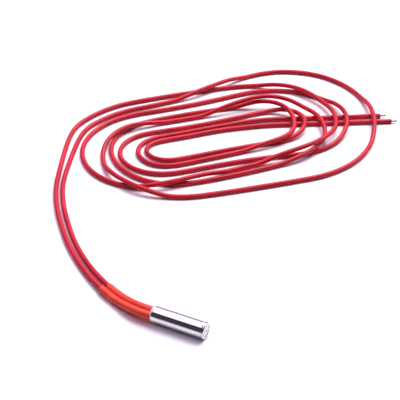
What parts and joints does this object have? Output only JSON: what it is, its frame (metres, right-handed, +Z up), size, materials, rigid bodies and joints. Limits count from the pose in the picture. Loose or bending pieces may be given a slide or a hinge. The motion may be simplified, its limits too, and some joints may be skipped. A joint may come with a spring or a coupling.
{
  "type": "cartridge heater",
  "caption": "Slim steel-sheathed cartridge heater with a wound ceramic core, a cement mouth plug and sleeved red leads wound into a loose hank.",
  "frame": {"origin": "middle of the sheath's axis", "axes": "+X along the sheath towards its closed end, +Z up, with the sheath lying on the floor at its own radius below the origin"},
  "size_m": [0.1234, 0.1823, 0.006],
  "materials": {
    "polished_steel": "polished",
    "white_ceramic": "matt, fired",
    "cement": "rough, chalky",
    "packed_oxide": "packed powder",
    "resistance_wire": "drawn",
    "tinned_strand": "tinned strands",
    "orange_sleeve": "satin coated sleeve",
    "red_lead": "satin silicone insulation"
  },
  "bodies": {
    "root": {"sheath": "polished_steel", "end_cap": "polished_steel", "base_insulator": "white_ceramic", "ceramic_core": "white_ceramic", "resistance_winding": "resistance_wire", "insulating_fill": "packed_oxide", "top_insulator": "white_ceramic", "conductor_tail_1": "tinned_strand", "conductor_tail_2": "tinned_strand", "mouth_plug": "cement", "sleeve_1": "orange_sleeve", "sleeve_2": "orange_sleeve", "lead_1": "red_lead", "lead_2": "red_lead", "lead_hank": "red_lead", "lead_end_1": "red_lead", "lead_end_2": "red_lead", "wire_tip_1": "tinned_strand", "wire_tip_2": "tinned_strand"}
  },
  "joints": []
}
